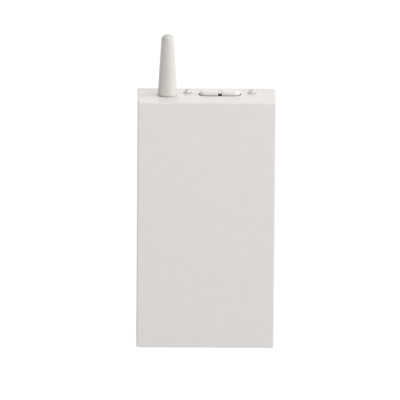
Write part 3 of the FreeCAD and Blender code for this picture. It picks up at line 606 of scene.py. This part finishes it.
def spare_object(name, mesh_builder):
    """A helper object that isn't a piece of its own."""
    mesh = bpy.data.meshes.new(name)
    mesh_builder.to_mesh(mesh)
    mesh_builder.free()
    spare = bpy.data.objects.new(name, mesh)
    bpy.context.scene.collection.objects.link(spare)
    return spare


def screw_template(head, height, shank, length, recess, material):
    """A pan-head screw along +Y with a cross recess, its seat at the origin."""
    body = spare_object("screw", turned(screw_profile(head, height, shank, length),
                                        x=0, y=0, steps=48))
    cutter = spare_object("recess", cross_cutter(height, recess))
    cut = body.modifiers.new("cross", "BOOLEAN")
    cut.operation = "DIFFERENCE"
    cut.solver = "EXACT"
    cut.use_self = True
    cut.object = cutter
    plain = bpy.data.meshes.new_from_object(
        body.evaluated_get(bpy.context.evaluated_depsgraph_get()))
    body.modifiers.remove(cut)
    bpy.data.objects.remove(cutter)
    plain.transform(Matrix.Rotation(-math.pi / 2, 4, "X"))
    plain.materials.clear()
    plain.materials.append(material)
    keep_creases(plain, SCREW_CREASE)
    body.data = plain
    return body


def screws_tree(material):
    """The same screw on every point it is given, each turned a little further than the last."""
    tree = Tree("screw_pattern", [
        ("Geometry", "Geometry", None), ("Screw", "Object", None), ("Turn Step", "Float", 0.0)])
    given = tree.given
    screw = tree.add("GeometryNodeObjectInfo", {"Object": given["Screw"]})
    number = tree.add("GeometryNodeInputIndex")
    turn = tree.math("MULTIPLY", number.outputs[0], given["Turn Step"])
    angle = tree.add("ShaderNodeCombineXYZ", {1: turn})
    placed = tree.add("GeometryNodeInstanceOnPoints", {
        "Points": given["Geometry"], "Instance": screw.outputs["Geometry"],
        "Rotation": angle.outputs[0]})
    tree.finish(placed.outputs[0], material)
    return tree


def screw_set(node, name, places, template, material, turn_step=0.7):
    """Sets the screw on each place and lets the set stand for its node."""
    piece = grown(name, screws_tree(material), {"Screw": template, "Turn Step": turn_step},
                  points_mesh(name, places))
    bpy.data.objects.remove(template)
    keep_creases(piece.data, SCREW_CREASE)
    settle(piece, "casing", "screw_steel", node)


# Operators

class REPEATER_OT_casing(bpy.types.Operator):
    """Give the front housing and the back cover their moulded off-white finish"""
    bl_idname = "repeater.casing"
    bl_label = "Casing"

    def execute(self, context):
        colours = context.scene.repeater_colours
        material = moulded_plastic("casing_plastic", colours.casing, roughness=0.42,
                                   grain_size=0.35 * MM, grain_depth=0.02 * MM)
        for node in ("front_housing", "back_cover"):
            dress(node, material)
        return {"FINISHED"}


class REPEATER_OT_keys(bpy.types.Operator):
    """Build the two press keys and the black seal under them"""
    bl_idname = "repeater.keys"
    bl_label = "Keys and seal"

    def execute(self, context):
        sizes = context.scene.repeater_sizes
        colours = context.scene.repeater_colours
        material = moulded_plastic("key_plastic", colours.keys, roughness=0.34,
                                   grain_size=0.3 * MM, grain_depth=0.012 * MM)
        for side, label in ((-1, "left"), (1, "right")):
            bm = key_cap(label + "_key", side, sizes.key_edge, sizes.key_crown)
            piece = object_from(bm, label + "_key_cap", material, label + "_button",
                                "key_white", label + "_key")
            keep_creases(piece.data, MOULDED_CREASE)
        rubber = moulded_plastic("seal_silicone", colours.seal, roughness=0.75,
                                 grain_size=0.25 * MM, grain_depth=0.015 * MM, mottle=0.2)
        rubber.node_tree.nodes["Principled BSDF"].inputs["Specular IOR Level"].default_value = 0.03
        dress("key_seal", rubber)
        return {"FINISHED"}


class REPEATER_OT_lamps(bpy.types.Operator):
    """Build the clear domed lenses and finish the lamps under them"""
    bl_idname = "repeater.lamps"
    bl_label = "Lamps and lenses"

    def execute(self, context):
        sizes = context.scene.repeater_sizes
        clear = clear_plastic("lens_plastic", (0.93, 0.94, 0.945))
        for label in ("left", "right"):
            low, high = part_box(label + "_lens")
            middle = (low + high) / 2
            bm = turned(lens_profile(low, high, sizes.lens_wall), middle.x, middle.y,
                        sizes.turning_steps // 2)
            piece = object_from(bm, label + "_lens_dome", clear, "casing", "lens_clear",
                                label + "_lens")
            keep_creases(piece.data, MOULDED_CREASE)
            dress(label + "_lamp", moulded_plastic(
                label + "_lamp_body", (0.82, 0.8, 0.68), roughness=0.3,
                grain_size=0.2 * MM, grain_depth=0.01 * MM, mottle=0.05))
        return {"FINISHED"}


class REPEATER_OT_antenna(bpy.types.Operator):
    """Grow the tapered antenna sleeve and finish what clamps and feeds it"""
    bl_idname = "repeater.antenna"
    bl_label = "Antenna"

    def execute(self, context):
        sizes = context.scene.repeater_sizes
        colours = context.scene.repeater_colours
        # The sleeve's colour carries painted shade: darker than its own plastic, so the whole
        # sleeve looks more shaded than the lights make it.
        material = moulded_plastic("antenna_plastic_painted_shade", colours.antenna, roughness=0.34,
                                   grain_size=0.3 * MM, grain_depth=0.012 * MM)
        foot = ((sleeve_low.x + sleeve_high.x) / 2, (sleeve_low.y + sleeve_high.y) / 2,
                sleeve_low.z)
        piece = grown("antenna_cover", antenna_tree(material), {
            "Base Radius": sizes.antenna_base_radius, "Tip Radius": sizes.antenna_tip_radius,
            "Height": sleeve_high.z - sleeve_low.z, "Crown": sizes.antenna_crown,
            "Shoulder": sizes.antenna_shoulder, "Groove": sizes.antenna_foot,
            "Groove Depth": sizes.antenna_foot_depth,
            "Steps": sizes.turning_steps, "Foot": foot})
        keep_creases(piece.data, MOULDED_CREASE)
        settle(piece, "casing", "antenna_white", "antenna_sleeve")
        brass = worked_metal("brass_turned", (0.78, 0.58, 0.28), roughness=0.3,
                             stretch=(1, 1, 12))
        nickel = worked_metal("nickel_plate", (0.72, 0.69, 0.63), roughness=0.24,
                              stretch=(1, 1, 10))
        for node in ("antenna_element", "antenna_stud", "antenna_socket"):
            dress(node, brass)
        for node in ("antenna_washer", "antenna_nut", "antenna_lead_plug", "inlet_pin",
                     "radio_crystal"):
            dress(node, nickel)
        jacket = moulded_plastic("lead_jacket_black", (0.014, 0.014, 0.015), roughness=0.45,
                                 grain_size=0.2 * MM, grain_depth=0.01 * MM, mottle=0.15)
        for node in ("antenna_lead", "battery_lead_black"):
            dress(node, jacket)
        return {"FINISHED"}


class REPEATER_OT_screws(bpy.types.Operator):
    """Set the cover screws and the board screws, each with its cross recess"""
    bl_idname = "repeater.screws"
    bl_label = "Screws"

    def execute(self, context):
        sizes = context.scene.repeater_sizes
        steel = worked_metal("screw_steel_plated", (0.62, 0.62, 0.63), roughness=0.26,
                             stretch=(1, 8, 1))
        for node, name, head, height, shank, length in (
                ("cover_screws", "cover_screw_set", sizes.cover_head_radius,
                 1.7 * MM, 1.4 * MM, 12 * MM),
                ("board_screws", "board_screw_set", sizes.board_head_radius,
                 1.4 * MM, 1.1 * MM, 7 * MM)):
            low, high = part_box(node)
            seat = high.y - height
            places = [(x, seat, z) for x in (low.x + head, high.x - head)
                      for z in (low.z + head, high.z - head)]
            template = screw_template(head, height, shank, length, recess=head * 1.15,
                                      material=steel)
            screw_set(node, name, places, template, steel)
        return {"FINISHED"}


class REPEATER_OT_boards(bpy.types.Operator):
    """Finish the main board, the radio module and the parts on them"""
    bl_idname = "repeater.boards"
    bl_label = "Boards and chips"

    def execute(self, context):
        colours = context.scene.repeater_colours
        dress("main_board", solder_mask("board_mask", colours.board, pitch=1.6 * MM))
        dress("radio_board", solder_mask("radio_mask", (0.01, 0.05, 0.16), pitch=1.1 * MM))
        chip = moulded_plastic("chip_epoxy", (0.025, 0.025, 0.027), roughness=0.5,
                               grain_size=0.12 * MM, grain_depth=0.01 * MM, mottle=0.2)
        for node in ("processor", "charger_chip", "voltage_regulator"):
            dress(node, chip)
        ferrite = moulded_plastic("ferrite_body", (0.11, 0.11, 0.115), roughness=0.62,
                                  grain_size=0.2 * MM, grain_depth=0.02 * MM, mottle=0.15)
        for node in ("power_inductor", "fuse"):
            dress(node, ferrite)
        dress("filter_capacitors", worked_metal("can_metal", (0.78, 0.78, 0.79), roughness=0.3,
                                                stretch=(1, 6, 1)))
        tin = worked_metal("clip_metal", (0.66, 0.67, 0.68), roughness=0.3, stretch=(6, 1, 1))
        for node in ("radio_shield", "left_switch_bracket", "right_switch_bracket",
                     "inlet_contact"):
            dress(node, tin)
        socket = moulded_plastic("socket_nylon", (0.02, 0.02, 0.021), roughness=0.42,
                                 grain_size=0.2 * MM, grain_depth=0.012 * MM, mottle=0.15)
        for node in ("left_switch_body", "right_switch_body", "left_switch_stem",
                     "right_switch_stem", "service_header", "inlet_body"):
            dress(node, socket)
        return {"FINISHED"}


class REPEATER_OT_battery(bpy.types.Operator):
    """Finish the backup battery, its pad and its leads"""
    bl_idname = "repeater.battery"
    bl_label = "Battery"

    def execute(self, context):
        dress("battery", moulded_plastic(
            "cell_wrap", (0.03, 0.12, 0.4), roughness=0.28,
            grain_size=1.4 * MM, grain_depth=0.05 * MM, mottle=0.08))
        dress("battery_pad", moulded_plastic(
            "pad_foam", (0.12, 0.12, 0.13), roughness=0.9,
            grain_size=0.5 * MM, grain_depth=0.15 * MM, mottle=0.2))
        dress("battery_lead_red", moulded_plastic(
            "lead_jacket_red", (0.45, 0.02, 0.018), roughness=0.42,
            grain_size=0.2 * MM, grain_depth=0.01 * MM, mottle=0.08))
        nylon = moulded_plastic("plug_nylon", (0.78, 0.77, 0.72), roughness=0.4,
                                grain_size=0.2 * MM, grain_depth=0.012 * MM, mottle=0.03)
        for node in ("battery_plug", "battery_socket"):
            dress(node, nylon)
        return {"FINISHED"}


def soft_light(name, toward, spread, strength, colour):
    """A far lamp in the direction toward, spread over that many degrees for soft shadows."""
    lamp = bpy.data.lights.new(name, "SUN")
    lamp.angle = math.radians(spread)
    lamp.energy = strength
    lamp.color = colour
    holder = bpy.data.objects.new(name, lamp)
    bpy.context.scene.collection.objects.link(holder)
    holder.rotation_euler = (-Vector(toward)).to_track_quat("-Z", "Y").to_euler()


def soft_panel(name, place, aim, size, power):
    """A square panel near the object, which the view doesn't see."""
    lamp = bpy.data.lights.new(name, "AREA")
    lamp.size = size
    lamp.energy = power
    holder = bpy.data.objects.new(name, lamp)
    bpy.context.scene.collection.objects.link(holder)
    holder.location = place
    holder.rotation_euler = (Vector(aim) - Vector(place)).to_track_quat("-Z", "Y").to_euler()
    holder.visible_camera = False


class REPEATER_OT_studio(bpy.types.Operator):
    """Set the view, the pale floor and the soft lights"""
    bl_idname = "repeater.studio"
    bl_label = "Studio"

    def execute(self, context):
        studio = context.scene.repeater_studio
        self.view(context, studio)
        self.floor(studio)
        self.room(context, studio)
        self.lights(studio)
        context.scene.view_settings.view_transform = "Standard"
        return {"FINISHED"}

    def view(self, context, studio):
        """A long lens from the front, a little to the left and above."""
        az, el, roll = studio.azimuth, studio.elevation, studio.roll
        back = Vector((math.sin(az) * math.cos(el), -math.cos(az) * math.cos(el), math.sin(el)))
        right = (-back).cross(Vector((0, 0, 1))).normalized()
        up = right.cross(-back)
        turned_right = math.cos(roll) * right + math.sin(roll) * up
        turned_up = -math.sin(roll) * right + math.cos(roll) * up
        data = bpy.data.cameras.new("view")
        data.lens = studio.lens
        data.sensor_width = 36
        data.clip_start, data.clip_end = 0.1, 100
        camera = bpy.data.objects.new("view", data)
        context.scene.collection.objects.link(camera)
        turn = Matrix((turned_right, turned_up, back)).transposed()
        place = Vector(studio.target) + back * studio.distance
        camera.matrix_world = Matrix.Translation(place) @ turn.to_4x4()
        context.scene.camera = camera

    def floor(self, studio):
        """White paper that lights the object less than it looks to the eye and in reflections."""
        bm = bmesh.new()
        reach, corners = 60, 96
        bmesh.ops.create_circle(bm, cap_ends=True, segments=corners, radius=reach)
        mesh = bpy.data.meshes.new("floor")
        bm.to_mesh(mesh)
        bm.free()
        floor = bpy.data.objects.new("floor", mesh)
        bpy.context.scene.collection.objects.link(floor)
        material, tree, shader = material_with("floor_paper", (0.15, 0.15, 0.15), roughness=0.95)
        shader.inputs["Specular IOR Level"].default_value = 0.0
        shader.inputs["Emission Color"].default_value = (1, 1, 1, 1)
        vary_roughness(tree, shader, noise(tree, size=0.3), 0.9, 1.0)
        glow = tree.nodes.new("ShaderNodeMapRange")
        glow.inputs["To Min"].default_value = studio.bounce
        glow.inputs["To Max"].default_value = studio.paper
        path = tree.nodes.new("ShaderNodeLightPath")
        seen = tree.nodes.new("ShaderNodeMath")
        seen.operation = "MAXIMUM"
        tree.links.new(path.outputs["Is Camera Ray"], seen.inputs[0])
        tree.links.new(path.outputs["Is Glossy Ray"], seen.inputs[1])
        tree.links.new(seen.outputs[0], glow.inputs["Value"])
        tree.links.new(glow.outputs["Result"], shader.inputs["Emission Strength"])
        mesh.materials.append(material)

    def room(self, context, studio):
        """White where the view looks past the floor, and a dim even fill for the object."""
        world = bpy.data.worlds.new("room")
        world.use_nodes = True
        tree = world.node_tree
        seen = tree.nodes.new("ShaderNodeBackground")
        seen.inputs["Strength"].default_value = 1.0
        seen.inputs["Color"].default_value = (1, 1, 1, 1)
        dim = tree.nodes["Background"]
        dim.inputs["Color"].default_value = (1, 1, 1, 1)
        dim.inputs["Strength"].default_value = studio.fill
        path = tree.nodes.new("ShaderNodeLightPath")
        mix = tree.nodes.new("ShaderNodeMixShader")
        tree.links.new(path.outputs["Is Camera Ray"], mix.inputs["Fac"])
        tree.links.new(dim.outputs[0], mix.inputs[1])
        tree.links.new(seen.outputs[0], mix.inputs[2])
        tree.links.new(mix.outputs[0], tree.nodes["World Output"].inputs["Surface"])
        context.scene.world = world

    def lights(self, studio):
        """A warm light low on the right, wide ones overhead and behind, and a panel in front."""
        soft_light("key_lamp", toward=(0.95, -0.02, 0.29), spread=34,
                   strength=studio.key_strength, colour=(1.0, 0.985, 0.96))
        soft_light("top_lamp", toward=(0.0, -0.1, 1.0), spread=90,
                   strength=studio.top_strength, colour=(1.0, 0.99, 0.98))
        soft_light("back_lamp", toward=(-0.1, 0.25, 0.05), spread=60,
                   strength=studio.back_strength, colour=(1.0, 1.0, 1.0))
        soft_panel("front_panel", place=(0.62, -1.18, 0.82), aim=(0, 0, 0.12), size=0.9,
                   power=studio.front_power)


class REPEATER_PT_pieces(bpy.types.Panel):
    """Lists the pieces of the repeater and their sizes"""
    bl_idname = "REPEATER_PT_pieces"
    bl_label = "Signal repeater"
    bl_space_type = "VIEW_3D"
    bl_region_type = "UI"
    bl_category = "Repeater"

    def draw(self, context):
        for operator in PIECES:
            self.layout.operator(operator.bl_idname)
        for group in (context.scene.repeater_sizes, context.scene.repeater_colours,
                      context.scene.repeater_studio):
            box = self.layout.box()
            for name in group.bl_rna.properties.keys():
                if name not in ("rna_type", "name"):
                    box.prop(group, name)


PIECES = (REPEATER_OT_casing, REPEATER_OT_keys, REPEATER_OT_lamps, REPEATER_OT_antenna,
          REPEATER_OT_screws, REPEATER_OT_boards, REPEATER_OT_battery, REPEATER_OT_studio)
GROUPS = {"repeater_sizes": RepeaterSizes, "repeater_colours": RepeaterColours,
          "repeater_studio": RepeaterStudio}


def register():
    for cls in (*GROUPS.values(), *PIECES, REPEATER_PT_pieces):
        bpy.utils.register_class(cls)
    for name, group in GROUPS.items():
        setattr(bpy.types.Scene, name, PointerProperty(type=group))


def unregister():
    for name in GROUPS:
        delattr(bpy.types.Scene, name)
    for cls in reversed((*GROUPS.values(), *PIECES, REPEATER_PT_pieces)):
        bpy.utils.unregister_class(cls)


def main():
    register()
    for operator in PIECES:
        group, name = operator.bl_idname.split(".")
        getattr(getattr(bpy.ops, group), name)()


if __name__ == "__main__":
    main()
